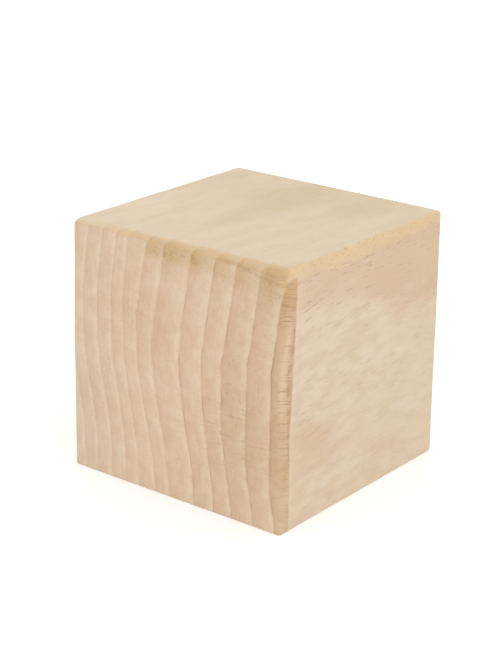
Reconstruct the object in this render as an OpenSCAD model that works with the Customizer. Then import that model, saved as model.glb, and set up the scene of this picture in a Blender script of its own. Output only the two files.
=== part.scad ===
// Solid wooden cube with rounded edges and corners: a plain building and craft
// block.
//
// The wood is beech. A length of it is planed to a square section and cut
// across, and then the block is sanded, which rounds all its edges and corners
// alike. The grain runs along Y, so the two faces square to Y are end grain.
//
// Frame: +Z up, origin at the centre of the face that the block rests on.

/* [Block] */
// Width and height of the square section that the timber is planed to, mm
section = 50; // [20:1:100]
// Length that is cut from it along the grain, mm
cut_length = 50; // [20:1:100]

/* [Edges] */
// Radius that sanding gives the edges and corners, mm
edge_r = 1.4; // [0.4:0.1:5]

/* [Hidden] */
wood_colour = [0.87, 0.78, 0.66];
block = [section, cut_length, section];
// From the centre of the block to the axes of its rounded edges, each way
to_edge_axis = block / 2 - [edge_r, edge_r, edge_r];
round_fn = 96;
// How a shape that stands along Z is turned to lie along X, Y or Z
TURN_ONTO = [[0, 90, 0], [90, 0, 0], [0, 0, 0]];

// Three crossed boxes, one for each axis. Each has the full size along its own
// axis, so its two ends are faces of the block, and leaves out the rounded
// edges on its four sides.
module flat_faces() {
    for (axis = [0:2])
        cube([for (i = [0:2]) i == axis ? block[i] : 2 * to_edge_axis[i]], center = true);
}

// Twelve straight rounded edges, four along each axis
module rounded_edges() {
    for (axis = [0:2], u = [-1, 1], v = [-1, 1]) {
        side = [for (i = [0:2]) i == axis ? 0 : i == (axis + 1) % 3 ? u : v];
        translate([for (i = [0:2]) side[i] * to_edge_axis[i]])
            rotate(TURN_ONTO[axis])
                cylinder(h = 2 * to_edge_axis[axis], r = edge_r, center = true, $fn = round_fn);
    }
}

// Eight corners, each a ball where three rounded edges meet
module ball_corners() {
    for (x = [-1, 1], y = [-1, 1], z = [-1, 1])
        translate([x * to_edge_axis[0], y * to_edge_axis[1], z * to_edge_axis[2]])
            sphere(r = edge_r, $fn = round_fn);
}

// The whole block, standing on its lower face
module wood_block() {
    color(wood_colour)
        translate([0, 0, section / 2])
            union() {
                flat_faces();
                rounded_edges();
                ball_corners();
            }
}

wood_block();
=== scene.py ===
import math

import bpy
import numpy as np
from mathutils import Matrix, Vector


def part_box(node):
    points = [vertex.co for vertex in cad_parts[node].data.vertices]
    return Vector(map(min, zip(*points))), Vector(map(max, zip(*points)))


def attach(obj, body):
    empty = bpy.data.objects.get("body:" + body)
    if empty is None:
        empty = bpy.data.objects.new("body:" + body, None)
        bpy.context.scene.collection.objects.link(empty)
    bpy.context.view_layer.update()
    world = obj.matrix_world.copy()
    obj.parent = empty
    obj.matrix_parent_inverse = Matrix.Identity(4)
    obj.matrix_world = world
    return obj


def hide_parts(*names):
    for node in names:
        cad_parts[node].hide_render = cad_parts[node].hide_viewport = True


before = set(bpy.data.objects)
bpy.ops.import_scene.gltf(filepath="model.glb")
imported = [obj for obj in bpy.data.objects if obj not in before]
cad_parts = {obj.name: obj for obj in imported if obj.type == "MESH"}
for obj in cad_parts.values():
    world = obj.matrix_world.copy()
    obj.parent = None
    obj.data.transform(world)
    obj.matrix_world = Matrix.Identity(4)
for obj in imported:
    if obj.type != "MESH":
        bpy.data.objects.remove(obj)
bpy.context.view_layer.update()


# ---------------------------------------------------------------------------
# The camera
# A long lens looks slightly down on one vertical edge of the block, with the
# end grain to the left of that edge and the flat-sawn face to its right.
# ---------------------------------------------------------------------------
BLOCK_LOW, BLOCK_HIGH = (np.array(corner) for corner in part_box("wood_block"))
BLOCK_CENTRE = (BLOCK_LOW + BLOCK_HIGH) / 2
BLOCK_SIDE = float((BLOCK_HIGH - BLOCK_LOW).max())

camera_turn = math.radians(37.8)      # round the block, from straight in front of the end grain
camera_height = math.radians(20.0)    # above the horizon
camera_tilt = math.radians(0.8)       # the picture is very slightly off level
camera_reach = 6.92 * BLOCK_SIDE      # from the lens to the middle of the block
aim_left = 0.0275 * BLOCK_SIDE        # the block stands a little right of the picture's middle
aim_up = 0.032 * BLOCK_SIDE           # and a little low in it

towards_camera = Vector((
    math.sin(camera_turn) * math.cos(camera_height),
    -math.cos(camera_turn) * math.cos(camera_height),
    math.sin(camera_height),
))
level_right = Vector((math.cos(camera_turn), math.sin(camera_turn), 0.0))
level_up = towards_camera.cross(level_right)
picture_right = math.cos(camera_tilt) * level_right + math.sin(camera_tilt) * level_up
picture_up = math.cos(camera_tilt) * level_up - math.sin(camera_tilt) * level_right

camera = bpy.data.objects.new("camera", bpy.data.cameras.new("camera"))
camera.data.lens = 97.6
camera.data.clip_end = 20.0
camera.matrix_world = Matrix.Translation(
    Vector(BLOCK_CENTRE) + camera_reach * towards_camera
    - aim_left * picture_right + aim_up * picture_up
) @ Matrix((picture_right, picture_up, towards_camera)).transposed().to_4x4()
bpy.context.scene.collection.objects.link(camera)
bpy.context.scene.camera = camera


# ---------------------------------------------------------------------------
# The block's surface
# One piece of beech, planed square, cut to length and sanded by hand on a
# flat board, so the faces stay true and the edges are rounded not quite evenly.
# ---------------------------------------------------------------------------
MM = 0.001
half = BLOCK_SIDE / MM / 2            # all the shaping below is in millimetres, from the block's centre

FLAT_STEPS = 98                       # squares across the flat part of a face
EDGE_STEPS = 14                       # squares across each rounded edge, on one face
EDGE_REACH = 3.6                      # how far the finer squares reach in from an edge


def lattice_steps():
    """Places along one side of the cube: even steps across the middle, and steps that
    shrink, by a power, towards both ends, where the surface turns."""
    middle = np.linspace(EDGE_REACH - half, half - EDGE_REACH, FLAT_STEPS + 1)
    turn = half - EDGE_REACH * np.linspace(1, 0, EDGE_STEPS + 1)[1:] ** 1.7
    return np.concatenate([-turn[::-1], middle, turn])


def cube_skin():
    """The six faces of a sharp cube as one closed skin of squares. A lattice point is
    numbered by its three steps, so the points that two faces share become one. Gives the
    points and, for each square, its four corners in the order that faces outwards."""
    steps = lattice_steps()
    last = len(steps) - 1
    across, up = np.meshgrid(np.arange(last), np.arange(last), indexing="ij")
    squares = []
    for axis in range(3):
        for end in (0, last):
            corners = []
            for step_across, step_up in ((0, 0), (1, 0), (1, 1), (0, 1)):
                at = [None, None, None]
                at[axis] = np.full(across.size, end)
                at[(axis + 1) % 3] = across.ravel() + step_across
                at[(axis + 2) % 3] = up.ravel() + step_up
                corners.append((at[0] * (last + 1) + at[1]) * (last + 1) + at[2])
            squares.append(np.stack(corners if end else corners[::-1], axis=1))
    numbers, square_corners = np.unique(np.concatenate(squares), return_inverse=True)
    lattice = np.stack(np.unravel_index(numbers, (last + 1,) * 3), axis=1)
    return steps[lattice], square_corners.reshape(-1, 4)


def wander(points, period, seed):
    """A smooth value of about -1 to 1 at each point: the sum of a few plane waves of about
    the given period, each with its own direction and start, over the root of their number."""
    rng = np.random.default_rng(seed)
    waves = 9
    directions = rng.normal(size=(waves, 3))
    directions /= np.linalg.norm(directions, axis=1, keepdims=True)
    periods = period * rng.uniform(0.7, 1.5, waves)
    starts = rng.uniform(0, 2 * math.pi, waves)
    turns = 2 * math.pi * points @ (directions / periods[:, None]).T + starts
    return np.sin(turns).sum(axis=1) / math.sqrt(waves)


def eased(share):
    """0 below 0 and 1 above 1, with a smooth S between them."""
    held = np.clip(share, 0, 1)
    return held * held * (3 - 2 * held)


def sanding_reach(points):
    """How far in from each pair of faces the rounding starts, in mm. The saw left the
    underside and the outer corners crisp. The sanding eased the top edges, most of all at
    the front, and the upright edge between the front and the right."""
    side, back, up = (points / half).T
    upper = eased(up)
    left = eased((1 - side) / 2)
    front = eased((1 - back) / 2)
    front_right = eased((side - back) / 2)
    off_the_floor = eased((1 + up) / 0.5)
    crisp = 0.45
    reach = np.stack([
        crisp + off_the_floor * (0.25 + 0.4 * front_right) + upper * (0.2 + 0.4 * left),
        crisp + off_the_floor * (0.25 + 0.9 * front_right) + upper * (0.3 + 2.1 * front),
        crisp + upper * (0.55 + front * (0.2 + 0.7 * front_right)),
    ], axis=1)
    slow = wander(points, 22.0, 3)
    quick = wander(points, 4.0, 8)
    return reach * (1 + 0.06 * slow + 0.025 * quick)[:, None]


def sanded(points):
    """Rounds the edges and corners of a sharp cube.

    Inside an axis's reach a point's distance is turned into a share of it, from 0 to 1. The
    shares are divided by the root of the sum of their powers, so each edge is part of a
    squarish ellipse. Gives the new points and their outward directions."""
    reach = sanding_reach(points)
    squareness = 2.6
    core = half - reach
    share = np.clip(np.abs(points) - core, 0, None) / reach
    size = (share ** squareness).sum(axis=1, keepdims=True) ** (1 / squareness)
    turned = np.where(share > 0, core + reach * share / size, np.abs(points))
    outward = np.sign(points) * (share / size) ** (squareness - 1) / reach
    outward /= np.linalg.norm(outward, axis=1, keepdims=True)
    return np.sign(points) * turned, outward


skin_points, skin_squares = cube_skin()
skin_points, skin_outward = sanded(skin_points)

# Sanding leaves the faces flat to a few hundredths of a millimetre, always inwards
face_dips = 0.016 + 0.008 * wander(skin_points, 14.0, 5)
skin_points -= skin_outward * face_dips[:, None].clip(0)


# ---------------------------------------------------------------------------
# The wood's figure
# The block is cut well away from the heart of a beech trunk, which lay to its
# right: the growth rings stand on edge in the end grain, and the rays run
# across them from right to left. The figure goes right through the block.
# ---------------------------------------------------------------------------

# Where each ring line stands at its waist, in mm from the block's left side
RING_LINES = np.array([
    -13.0, -10.2, -7.2, -3.9, -0.6, 2.6, 6.2, 9.7, 12.6, 16.0, 19.4, 26.2, 31.6, 36.1, 41.8, 47.3,
    52.5, 57.0, 62.0,
])
RING_DRIFT = 0.047                    # the rings drift this far right for each mm from front to back


def ring_bow(across, height):
    """How far a ring line stands to the right of its waist, in mm. Above its waist it leans
    over at a steady slope. Below, it swings over in one smooth S. The lines on the left have
    a high waist and a long swing, and those on the right a low waist and a short one."""
    lean = np.interp(across, (8, 14, 22, 43, 48), (0.14, 0.12, 0.165, 0.165, 0.145))
    lean_from = np.interp(across, (14, 21, 27, 33, 38, 50), (37, 28, 31, 31, 29, 31))
    swing = np.interp(across, (14, 21, 28, 33, 50), (3.3, 4.5, 3.9, 3.1, 1.2))
    swing_from = np.interp(across, (22, 31, 36, 42, 50), (30, 26, 20, 13, 9))
    swing_to = np.interp(across, (12, 20), (5, 0))
    leaning = lean * np.clip(height - lean_from, 0, None)
    return leaning + swing * eased((swing_from - height) / (swing_from - swing_to))


def grain_place(points):
    """Where each point lies in the tree, in mm: across the rings, along the fibres and
    along the rings. The fibres rise a little from the front and fall again towards the
    back, and the rays fan out from the right."""
    across, along, height = (points + half).T
    radial = across - ring_bow(across, height) - RING_DRIFT * along
    fibre_rise = 0.14 * along - 0.0022 * along ** 2
    ray_fan = 0.0056 * (height - half) * (across - half)
    return np.stack([radial, along, height + ray_fan - fibre_rise], axis=1)


def ring_count(radial):
    """The number of ring lines to the left of a place, and its share of the way to the next.
    Evenly spaced between lines, so its whole part names a ring and its fraction a place in it."""
    return np.interp(radial, RING_LINES, np.arange(len(RING_LINES)))


def bell(value, middle, width):
    """1 at the middle, falling off smoothly on both sides to almost nothing at two widths."""
    return np.exp(-((value - middle) / width) ** 2)


def hills(across, up, fall, places):
    """Soft patches on one face, from 0 to 1: the sum of oval hills. Each place gives a hill's
    middle across the face and up it, then its half length, half height and strength. A
    hill's long axis falls by fall for each mm across."""
    total = np.zeros(len(across))
    for middle, height, long, tall, strength in places:
        fallen = up - height + fall * (across - middle)
        total += strength * np.exp(-((across - middle) / long) ** 2 - (fallen / tall) ** 2)
    return np.clip(total, 0, 1)


# Each point's place in mm, from the left side, from the front and from the floor
skin_across, skin_along, skin_height = (skin_points + half).T
skin_grain = grain_place(skin_points)
skin_rings = ring_count(skin_grain[:, 0])

# The flat-sawn face is pinker above a line that falls towards the back, and in patches
pink_line = np.interp(skin_along, (0, 20, 30, 38, 50), (42.0, 40.0, 37.0, 34.0, 33.0))
pink_depth = np.interp(skin_along, (0, 12, 35, 50), (0.52, 0.66, 0.90, 0.85))
skin_pink = np.clip(pink_depth * eased((skin_height - pink_line + 3.0) / 6.0) + hills(
    skin_along, skin_height, 0.22, (
        (9.5, 16.0, 9.0, 3.8, 1.00),
        (9.0, 10.0, 9.0, 2.4, 0.40),
        (31.0, 7.5, 11.0, 2.4, 0.45),
        (13.0, 23.0, 6.0, 2.6, 0.25),
        (37.0, 33.0, 5.0, 2.2, 0.35),
        (2.0, 46.0, 5.0, 3.0, -0.35),
    )), 0, 1)
# Where its ray flecks crowd together
skin_flecked = np.clip(0.22 + hills(skin_along, skin_height, 0.10, (
    (10.0, 42.5, 11.0, 4.5, 0.70),
    (26.0, 44.0, 12.0, 3.5, 0.55),
    (42.0, 45.0, 10.0, 3.0, 0.35),
    (8.0, 20.0, 8.0, 6.0, 0.20),
)), 0, 1)

# The top has one olive band along the grain, with two darker marks, and a fainter band to
# its right. The olive colour also rises evenly over the whole top towards the back: painted shade
skin_olive_and_back_shade = np.clip(0.45 * eased((skin_along - 10) / 36) + hills(skin_along, skin_across, -0.04, (
    (38.0, 22.5, 12.0, 5.0, 0.70),
    (14.0, 22.5, 16.0, 3.6, 0.42),
    (42.0, 38.0, 13.0, 4.0, 0.42),
    (38.5, 19.0, 3.0, 1.7, 0.35),
    (37.0, 25.5, 3.5, 1.7, 0.30),
)), 0, 1)

# The end grain is browner low on the right, in its top corner and in patches on the left
skin_brown = hills(skin_across, skin_height, 0.0, (
    (44.0, 16.0, 8.0, 9.5, 1.00),
    (38.5, 28.0, 3.5, 10.0, 0.60),
    (46.0, 36.0, 6.0, 16.0, 0.55),
    (34.0, 12.0, 5.0, 9.0, 0.30),
    (15.0, 35.0, 11.0, 8.0, 0.50),
    (21.5, 32.0, 3.5, 5.0, 0.40),
    (7.0, 16.0, 8.0, 5.0, 0.40),
))
# Where the rays show in it
skin_rayed = np.clip(0.12 + hills(skin_across, skin_height, 0.0, (
    (38.0, 15.0, 11.0, 7.0, 0.90),
    (44.0, 40.0, 6.0, 7.0, 0.35),
)), 0, 1)
# It is stained under the top edge, further down in the front corner, with spots on some rings
corner = eased((skin_across - 36) / 9)
smoke = 0.50 * eased((skin_across - 13) / 9) + 0.90 * eased((skin_across - 45) / 3)
smoke = smoke * bell(skin_height, 47.6, 2.3 + 1.3 * corner)
spots = 0.95 * bell(skin_across, 25.5, 6.5) * bell(skin_height, 48.2, 1.2)
skin_stain = np.clip(smoke + spots, 0, 1) * (skin_along < half)
# Two thin dark lines fall to the right across it there, the lower one faster
crease_fall = skin_height - 49.15 + 0.45 * corner
lower_fall = crease_fall + 0.15 * np.clip(skin_across - 40.5, 0, None)
skin_crease = np.maximum(0.6 * bell(crease_fall, 0.0, 0.26), bell(lower_fall, 0.0, 0.30))
skin_crease = skin_crease * eased((skin_across - 34.0) / 2) * eased(3.5 - skin_along)

# Two worn strips, each as the depth inside it in mm: a honey one along the top of the
# flat-sawn face, and a brown one where the end grain shows round the upright front edge
skin_down = 2 * half - skin_height    # from the top
skin_inward = 2 * half - skin_across  # from the right side
# Below 0 on the top, and above 0 on the flat-sawn face
past_top_edge = skin_down - skin_inward
skin_honey = np.min([
    np.interp(skin_along, (0, 3, 7, 16, 50), (3.8, 3.4, 2.3, 3.5, 2.6)) - past_top_edge,
    2 * (past_top_edge + 0.9 + 1.6 * np.exp(-skin_along / 4.0)),
    4.2 - np.maximum(skin_down, skin_inward),
], axis=0)
# How far each point is to the left of the brown strip's right border
strip_reach = np.interp(skin_height, (0, 9, 18, 38, 50), (2.7, 2.7, 2.4, 3.55, 3.9))
round_edge = strip_reach - (skin_along - skin_inward)
skin_wrap = np.minimum(round_edge, 5.0 - np.maximum(skin_along, skin_inward))
# A dark line wanders up the brown strip. This is how far each point is to the left of it
skin_rim = round_edge - np.interp(skin_height, (14, 19, 28, 32, 39), (0.3, 0.7, 1.5, 1.5, 0.3))
# The saw tore the strip into short level ticks: where they lie, and how strong they are
skin_ticks = np.stack([
    skin_along,
    skin_across,
    skin_height + 0.26 * skin_inward + 0.30 * skin_along,
], axis=1)
skin_torn = eased(np.maximum((2.9 - skin_rim) / 0.9, (skin_height - 37) / 2)) * np.clip(
    0.18 + 0.36 * eased((skin_height - 12) / 8) + 0.25 * bell(skin_rim, 0.2, 0.7)
    + 0.45 * bell(skin_height, 40.8, 2.0), 0, 1)
# The strip is darker in two places: right across near the top, and at its right low down
low_patch = bell(skin_height, 12.0, 2.8) * bell(round_edge, 1.6, 1.3)
skin_aged = bell(skin_height, 43.6, 1.8) + 1.2 * low_patch
# It is bare and pale on the edge itself, half way up
half_way = eased((skin_height - 19) / 8) * eased((42 - skin_height) / 6)
skin_bare = bell(skin_rim, 1.55, 0.75) * half_way

block_mesh = bpy.data.meshes.new("beech_block")
block_mesh.from_pydata((skin_points * MM + BLOCK_CENTRE).tolist(), [], skin_squares.tolist())
block_mesh.polygons.foreach_set("use_smooth", np.ones(len(skin_squares), dtype=bool))


def store(name, values):
    """Gives each of the block's points a number, or three."""
    kind, field = ("FLOAT", "value") if values.ndim == 1 else ("FLOAT_VECTOR", "vector")
    attribute = block_mesh.attributes.new(name, kind, "POINT")
    attribute.data.foreach_set(field, np.ascontiguousarray(values, dtype=np.float32).ravel())


store("grain", skin_grain)
store("rings", skin_rings)
store("outward", skin_outward)
store("pink", skin_pink)
store("flecked", skin_flecked)
store("olive_and_back_shade", skin_olive_and_back_shade)
store("brown", skin_brown)
store("rayed", skin_rayed)
store("stain", skin_stain)
store("crease", skin_crease)
store("honey", skin_honey)
store("wrap", skin_wrap)
store("rim", skin_rim)
store("ticks", skin_ticks)
store("torn", skin_torn)
store("aged", skin_aged)
store("bare", skin_bare)
store("high", skin_height)
block_mesh.update()

block = bpy.data.objects.new("beech_block", block_mesh)
bpy.context.scene.collection.objects.link(block)


# ---------------------------------------------------------------------------
# Bare beech
# Sanded and left without oil or lacquer. The end grain drinks the light and
# shows each ring, and the long grain is paler, with short brown ray flecks.
# ---------------------------------------------------------------------------
beech = bpy.data.materials.new("bare_beech")
beech.use_nodes = True
tree = beech.node_tree
tree.nodes.clear()


def colour(red, green, blue):
    """A screen colour, 0 to 255, as the linear light that shaders use."""
    share = np.array([red, green, blue]) / 255
    return (*np.where(share <= 0.04045, share / 12.92, ((share + 0.055) / 1.055) ** 2.4), 1.0)


def socket(node, name, value):
    """Links value to a node's input if it comes from another node, and sets it if not."""
    place = node.inputs[name]
    if isinstance(value, bpy.types.NodeSocket):
        tree.links.new(value, place)
    else:
        place.default_value = value


def stored(name, output="Fac"):
    """A value that the block's points carry."""
    node = tree.nodes.new("ShaderNodeAttribute")
    node.attribute_name = name
    return node.outputs[output]


def sums(operation, *values):
    """One step of arithmetic."""
    node = tree.nodes.new("ShaderNodeMath")
    node.operation = operation
    for place, value in enumerate(values):
        socket(node, place, value)
    return node.outputs[0]


def between(value, low, high, start=0.0, end=1.0):
    """Takes value smoothly from start, at low, to end, at high."""
    node = tree.nodes.new("ShaderNodeMapRange")
    node.interpolation_type = "SMOOTHSTEP"
    for name, number in (("Value", value), ("From Min", low), ("From Max", high),
                         ("To Min", start), ("To Max", end)):
        socket(node, name, number)
    return node.outputs["Result"]


def speckle(size, seed, detail=2.0, roughness=0.5, place="grain"):
    """Noise in the wood, from about 0.2 to 0.8. size is the length of one blotch, in mm,
    across the rings, along the fibres and along the rings, or along the axes of another
    place that the block's points carry."""
    stretch = tree.nodes.new("ShaderNodeVectorMath")
    stretch.operation = "MULTIPLY_ADD"
    socket(stretch, 0, stored(place, "Vector"))
    socket(stretch, 1, tuple(1 / length for length in size))
    socket(stretch, 2, (seed * 7.3, seed * 3.1, seed * 5.7))
    noise = tree.nodes.new("ShaderNodeTexNoise")
    socket(noise, "Vector", stretch.outputs[0])
    socket(noise, "Scale", 1.0)
    socket(noise, "Detail", detail)
    socket(noise, "Roughness", roughness)
    return noise.outputs["Fac"]


def tint(share, under, over, how="MIX"):
    """Lays the colour over on the colour under, by share."""
    node = tree.nodes.new("ShaderNodeMix")
    node.data_type = "RGBA"
    node.blend_type = how
    socket(node, 0, share)
    socket(node, 6, under)
    socket(node, 7, over)
    return node.outputs[2]


def parts(vector):
    """The three numbers of a vector."""
    node = tree.nodes.new("ShaderNodeSeparateXYZ")
    socket(node, 0, vector)
    return node.outputs


def times(*shares):
    """The product of several shares."""
    product = shares[0]
    for share in shares[1:]:
        product = sums("MULTIPLY", product, share)
    return product


def profile(value, points):
    """Reads value, 0 to 1, off a curve through the given points."""
    node = tree.nodes.new("ShaderNodeFloatCurve")
    curve = node.mapping.curves[0]
    for place, height in points[1:-1]:
        curve.points.new(place, height)
    curve.points[0].location = points[0]
    curve.points[-1].location = points[-1]
    for point in curve.points:
        point.handle_type = "VECTOR"
    node.mapping.update()
    socket(node, "Value", value)
    return node.outputs[0]


# Which way the surface faces: cut is 1 where it is square across the fibres, and 0 along them
side, lengthways, top = parts(stored("outward", "Vector"))
cut = sums("ABSOLUTE", lengthways)
side_share = between(sums("ABSOLUTE", side), 0.2, 0.8)
top_share = between(sums("ABSOLUTE", top), 0.2, 0.8)
standing = between(sums("ABSOLUTE", top), 0.90, 0.66)
upright = times(between(sums("ABSOLUTE", top), 0.40, 0.12), between(lengthways, 0.0, -0.03))
radial, along, _ = parts(stored("grain", "Vector"))

# Rings: each is darkest just right of its line, and fades on the way to a thin pale line
DARK_START = 0.068                    # where a ring turns dark, as a share of the way to the next
CORNER_RING = 15                      # the ring that the brown strip lies in
ring_place = sums("MULTIPLY_ADD", speckle((8, 20, 4), 1), 0.10, stored("rings"))
ring_place = sums("MULTIPLY_ADD", speckle((2, 9, 1.2), 13), 0.035, ring_place)
ring_share = sums("FRACT", sums("SUBTRACT", ring_place, DARK_START))
ring_dark = profile(ring_share, (
    (0.0, 0.42), (0.03, 0.92), (0.07, 1.0), (0.12, 0.86), (0.20, 0.78), (0.34, 0.64),
    (0.52, 0.50), (0.68, 0.36), (0.80, 0.16), (0.87, 0.0), (0.96, 0.0), (1.0, 0.42),
))
ring_depth = between(radial, 0.0, 48.0, 0.62, 1.0)

# The end grain, with fine growth lines beside the rings, brown blotches and rays
growth = speckle((0.42, 25, 9), 10, 2.0)
mottle = speckle((2.6, 9, 3.2), 11, 3.0, 0.6)
end_wood = tint(times(ring_dark, ring_depth), colour(221, 200, 173), colour(204, 177, 149))
end_wood = tint(between(growth, 0.35, 0.65, 0.0, 0.7), end_wood, colour(251, 248, 244), "MULTIPLY")
end_wood = tint(between(mottle, 0.36, 0.64), end_wood, colour(249, 244, 240), "MULTIPLY")
end_wood = tint(stored("brown"), end_wood, colour(247, 241, 235), "MULTIPLY")
end_wood = tint(between(radial, 14.0, 0.0, 0.0, 0.8), end_wood, colour(251, 253, 255), "MULTIPLY")
blotch = between(speckle((0.9, 5, 0.8), 12, 2.0), 0.58, 0.74)
end_wood = tint(times(blotch, stored("brown"), 0.45), end_wood, colour(182, 144, 118))
ray_line = between(speckle((6, 3, 0.30), 4, 1.0), 0.56, 0.78)
end_wood = tint(times(ray_line, stored("rayed"), 0.42), end_wood, colour(170, 138, 113))
# The thin dark line that some rings start with
thin_line = profile(ring_share, (
    (0.0, 0.0), (0.015, 1.0), (0.045, 1.0), (0.075, 0.0), (1.0, 0.0)))
lined = times(between(speckle((6, 30, 5), 20, 1.0), 0.47, 0.62), between(radial, 20.0, 27.0))
end_wood = tint(times(thin_line, lined, 0.42), end_wood, colour(160, 128, 102))

# The long grain: pink patches on the sides, and olive bands on the top, which also carry painted shade
# towards the back
pink_noise = sums("SUBTRACT", speckle((6, 8, 3.0), 5, 3.0, 0.6), 0.5)
pink = between(sums("MULTIPLY_ADD", pink_noise, 1.3, stored("pink")), 0.0, 1.0)
long_wood = tint(times(pink, side_share), colour(213, 195, 170), colour(203, 175, 145))
olive_noise = sums("SUBTRACT", speckle((4, 12, 6), 6, 3.0), 0.5)
olive_and_back_shade = between(sums("MULTIPLY_ADD", olive_noise, 1.1, stored("olive_and_back_shade")), 0.0, 1.0)
long_wood = tint(times(between(radial, 9.0, 0.0), top_share, 0.7), long_wood, colour(217, 201, 178))
long_wood = tint(times(top_share, 0.60), long_wood, colour(223, 205, 176))
# The olive mix draws the top's bands and also darkens the top towards the back as painted shade
long_wood = tint(times(olive_and_back_shade, top_share), long_wood, colour(206, 187, 153))
streak = between(speckle((3.5, 14, 5), 14, 1.0), 0.36, 0.66, 0.0, 0.34)
long_wood = tint(streak, long_wood, colour(209, 189, 158))
# Painted shade: the sides are darkened towards the back, with soft clouds that fade there
side_shade = between(along, 14.0, 46.0, 0.0, 0.6)
long_wood = tint(times(side_shade, side_share), long_wood, colour(250, 249, 248), "MULTIPLY")
cloudy = between(speckle((3.0, 5.0, 2.2), 15, 3.0, 0.5), 0.38, 0.64, 0.0, 0.50)
cloudy = times(cloudy, between(side_shade, 0.0, 0.6, 1.0, 0.6))
long_wood = tint(times(cloudy, side_share), long_wood, colour(202, 177, 148))
# The top blushes in long faint patches, and the sides have short ray flecks
blush = between(speckle((3.0, 9, 5), 21, 3.0, 0.6), 0.44, 0.70, 0.0, 0.45)
long_wood = tint(times(blush, top_share), long_wood, colour(212, 188, 160))
fleck = between(speckle((9, 3.5, 0.36), 3, 1.0), 0.62, 0.74)
long_wood = tint(times(fleck, stored("flecked"), side_share, 0.74), long_wood, colour(164, 132, 103))

# A surface that turns across the fibres looks like end grain, and over the top edge it does
# so furthest in the dark wood of each ring. It also shows right round the worn upright edge
cut_through = sums("MULTIPLY_ADD", ring_dark, times(0.14, top_share, between(cut, 0.02, 0.15)), cut)
cut_share = between(
    cut_through, between(upright, 0.0, 1.0, 0.30, 0.03), between(upright, 0.0, 1.0, 0.90, 0.30))
ragged = sums("SUBTRACT", speckle((1.5, 1.5, 1.5), 17, 2.0), 0.5)
wrap_share = times(between(sums("MULTIPLY_ADD", ragged, 0.9, stored("wrap")), -0.1, 0.2), standing)
wood = tint(sums("MAXIMUM", cut_share, wrap_share), long_wood, end_wood)
# Painted highlight: the flat-sawn face is paler right beside the brown strip, where the worn upright
# edge turns into it
tangent_highlight = times(between(stored("wrap"), -1.6, -0.5), between(stored("wrap"), 0.0, -0.3), side_share)
wood = tint(times(tangent_highlight, 0.35, stored("torn")), wood, colour(221, 198, 163))

# The brown strip stops at its ring's line on the left
strip = times(
    standing, between(stored("wrap"), 0.0, 0.35),
    between(ring_place, CORNER_RING + DARK_START, CORNER_RING + 0.12))

# The top edges are rubbed to a honey colour, unevenly, with dark specks and flecks in it
patchy = sums("SUBTRACT", speckle((1.3, 2.0, 1.3), 7, 2.0, 0.6), 0.5)
honey_share = between(sums("MULTIPLY_ADD", patchy, 5.4, stored("honey")), -0.5, 1.9)
honey_share = times(honey_share, between(cut, 0.98, 0.78), sums("SUBTRACT", 1.0, strip))
wood = tint(times(honey_share, 0.72), wood, colour(214, 188, 146))
speck = between(speckle((0.9, 1.1, 0.5), 18, 1.0), 0.56, 0.70)
wood = tint(times(speck, honey_share, 0.40), wood, colour(186, 156, 106))
lip = times(between(stored("honey"), -0.5, -0.1), between(stored("honey"), 0.4, 0.1), side_share)
lip_fleck = between(speckle((5, 2.6, 0.6), 19, 1.5), 0.56, 0.66)
wood = tint(times(lip, lip_fleck, stored("flecked"), 0.55), wood, colour(144, 110, 78))
front_rub = times(
    between(sums("MULTIPLY_ADD", patchy, 0.25, cut_through), 0.06, 0.26),
    between(cut, 0.97, 0.78),
    between(top, 0.04, 0.42),
    between(radial, 2.0, 16.0, 0.35, 1.0),
    between(ring_dark, 0.2, 0.9, 0.8, 1.0))
wood = tint(times(front_rub, 0.74), wood, colour(210, 177, 131))
# The stain and the two creases under the front top edge
stain = times(
    stored("stain"),
    between(ring_dark, 0.15, 1.0, 0.50, 1.0),
    between(patchy, -0.30, 0.10, 0.7, 1.0),
    between(cut, 0.10, 0.40))
wood = tint(times(stain, 0.85), wood, colour(184, 149, 98))
wood = tint(times(stain, speck, 0.50), wood, colour(142, 108, 66))
crease = times(stored("crease"), between(patchy, -0.20, 0.05))
wood = tint(times(crease, 0.45), wood, colour(162, 126, 80))

# The brown strip itself: aged and bare places, and the ends of the rays torn open as ticks
wood = tint(times(strip, 0.60), wood, colour(248, 241, 231), "MULTIPLY")
wood = tint(times(strip, stored("aged"), 0.40), wood, colour(186, 148, 104))
wood = tint(times(strip, between(stored("high"), 41.5, 46.0), 0.50), wood, colour(194, 158, 108))
wood = tint(times(strip, stored("bare"), 0.40), wood, colour(230, 204, 174))
tick = between(speckle((4.5, 4.5, 0.32), 8, 1.5, 0.5, "ticks"), 0.50, 0.66)
wood = tint(times(strip, tick, stored("torn"), 0.66), wood, colour(158, 112, 80))
# The dark line up it, broken here and there, and a short split on its ring's line
rim = times(
    strip,
    between(stored("rim"), 0.35, 0.05),
    between(stored("rim"), -1.6, -0.4, 0.4, 1.0),
    between(stored("high"), 10.0, 15.0),
    between(stored("high"), 42.0, 39.0),
    between(speckle((3, 3, 1.4), 16, 2.0), 0.40, 0.58, 0.25, 1.0))
wood = tint(times(rim, 0.56), wood, colour(170, 132, 102))
split = times(
    thin_line,
    between(ring_place, CORNER_RING + 0.02, CORNER_RING + 0.06),
    between(stored("high"), 23.0, 27.0),
    between(stored("high"), 38.0, 35.0),
    between(lengthways, -0.3, -0.6))
wood = tint(times(split, 0.50), wood, colour(160, 124, 96))

# Fibres and pores, too fine to pick out one by one
fibre = speckle((0.30, 5.0, 0.30), 9, 3.0, 0.65)
wood = tint(
    times(between(fibre, 0.30, 0.75, 0.0, 0.16), between(cut, 0.0, 1.0, 0.4, 1.0)),
    wood, colour(176, 146, 116))

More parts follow.
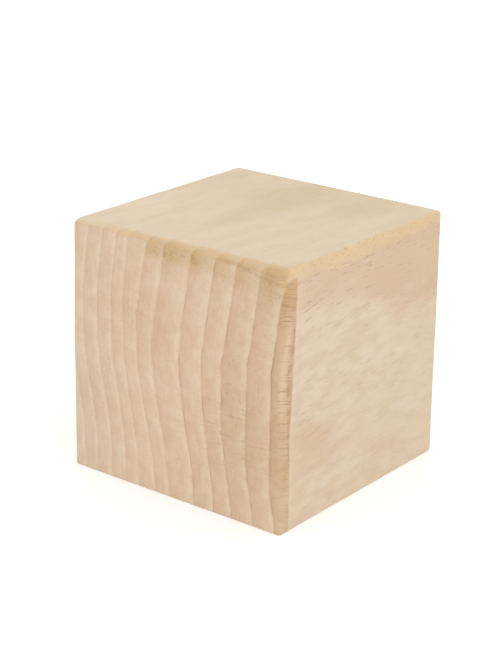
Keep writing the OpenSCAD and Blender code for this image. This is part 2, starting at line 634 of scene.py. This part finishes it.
finish = tree.nodes.new("ShaderNodeBsdfPrincipled")
socket(finish, "Base Color", wood)
socket(finish, "Roughness", between(fibre, 0.3, 0.7, 0.52, 0.66))
finish.inputs["IOR"].default_value = 1.45
finish.inputs["Specular IOR Level"].default_value = 0.4

# The fibres stand a little proud, and the ray flecks are a little sunk
bump = tree.nodes.new("ShaderNodeBump")
bump.inputs["Strength"].default_value = 0.6
bump.inputs["Distance"].default_value = 0.00006
socket(bump, "Height", sums("MULTIPLY_ADD", times(fleck, side_share), -0.6, fibre))
socket(finish, "Normal", bump.outputs[0])

surface = tree.nodes.new("ShaderNodeOutputMaterial")
tree.links.new(finish.outputs[0], surface.inputs["Surface"])

block_mesh.materials.append(beech)
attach(block, "root")
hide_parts("wood_block")


# ---------------------------------------------------------------------------
# The floor and the light
# A white table that runs on out of sight, in a white room that lights the
# block from all round, with one broad soft lamp up to the right.
# ---------------------------------------------------------------------------
FLOOR_REACH = 3.0

floor_mesh = bpy.data.meshes.new("table")
floor_mesh.from_pydata(
    [(x * FLOOR_REACH, y * FLOOR_REACH, float(BLOCK_LOW[2]))
     for x, y in ((-1, -1), (1, -1), (1, 1), (-1, 1))],
    [], [(0, 1, 2, 3)])
floor = bpy.data.objects.new("table", floor_mesh)
bpy.context.scene.collection.objects.link(floor)

# It glows a little, so that it is white right up to the block
white = bpy.data.materials.new("white_table")
white.use_nodes = True
white_finish = white.node_tree.nodes["Principled BSDF"]
white_finish.inputs["Base Color"].default_value = (0.95, 0.95, 0.95, 1.0)
white_finish.inputs["Roughness"].default_value = 0.9
white_finish.inputs["Specular IOR Level"].default_value = 0.0
white_finish.inputs["Emission Color"].default_value = (1.0, 1.0, 1.0, 1.0)
white_finish.inputs["Emission Strength"].default_value = 0.16
floor_mesh.materials.append(white)

room = bpy.data.worlds.new("white_room")
room.use_nodes = True
room_light = room.node_tree.nodes["Background"]
room_light.inputs["Color"].default_value = (1.0, 1.0, 1.0, 1.0)
room_light.inputs["Strength"].default_value = 1.0
bpy.context.scene.world = room

lamp = bpy.data.objects.new("soft_lamp", bpy.data.lights.new("soft_lamp", "AREA"))
lamp.data.shape = "DISK"
lamp.data.size = 0.7
lamp.data.energy = 1.2
lamp_place = Vector(BLOCK_CENTRE) + Vector((0.55, -0.25, 0.75))
lamp.location = lamp_place
lamp.rotation_euler = (lamp_place - Vector(BLOCK_CENTRE)).to_track_quat("Z", "Y").to_euler()
bpy.context.scene.collection.objects.link(lamp)

bpy.context.scene.view_settings.view_transform = "Standard"
bpy.context.scene.view_settings.look = "None"
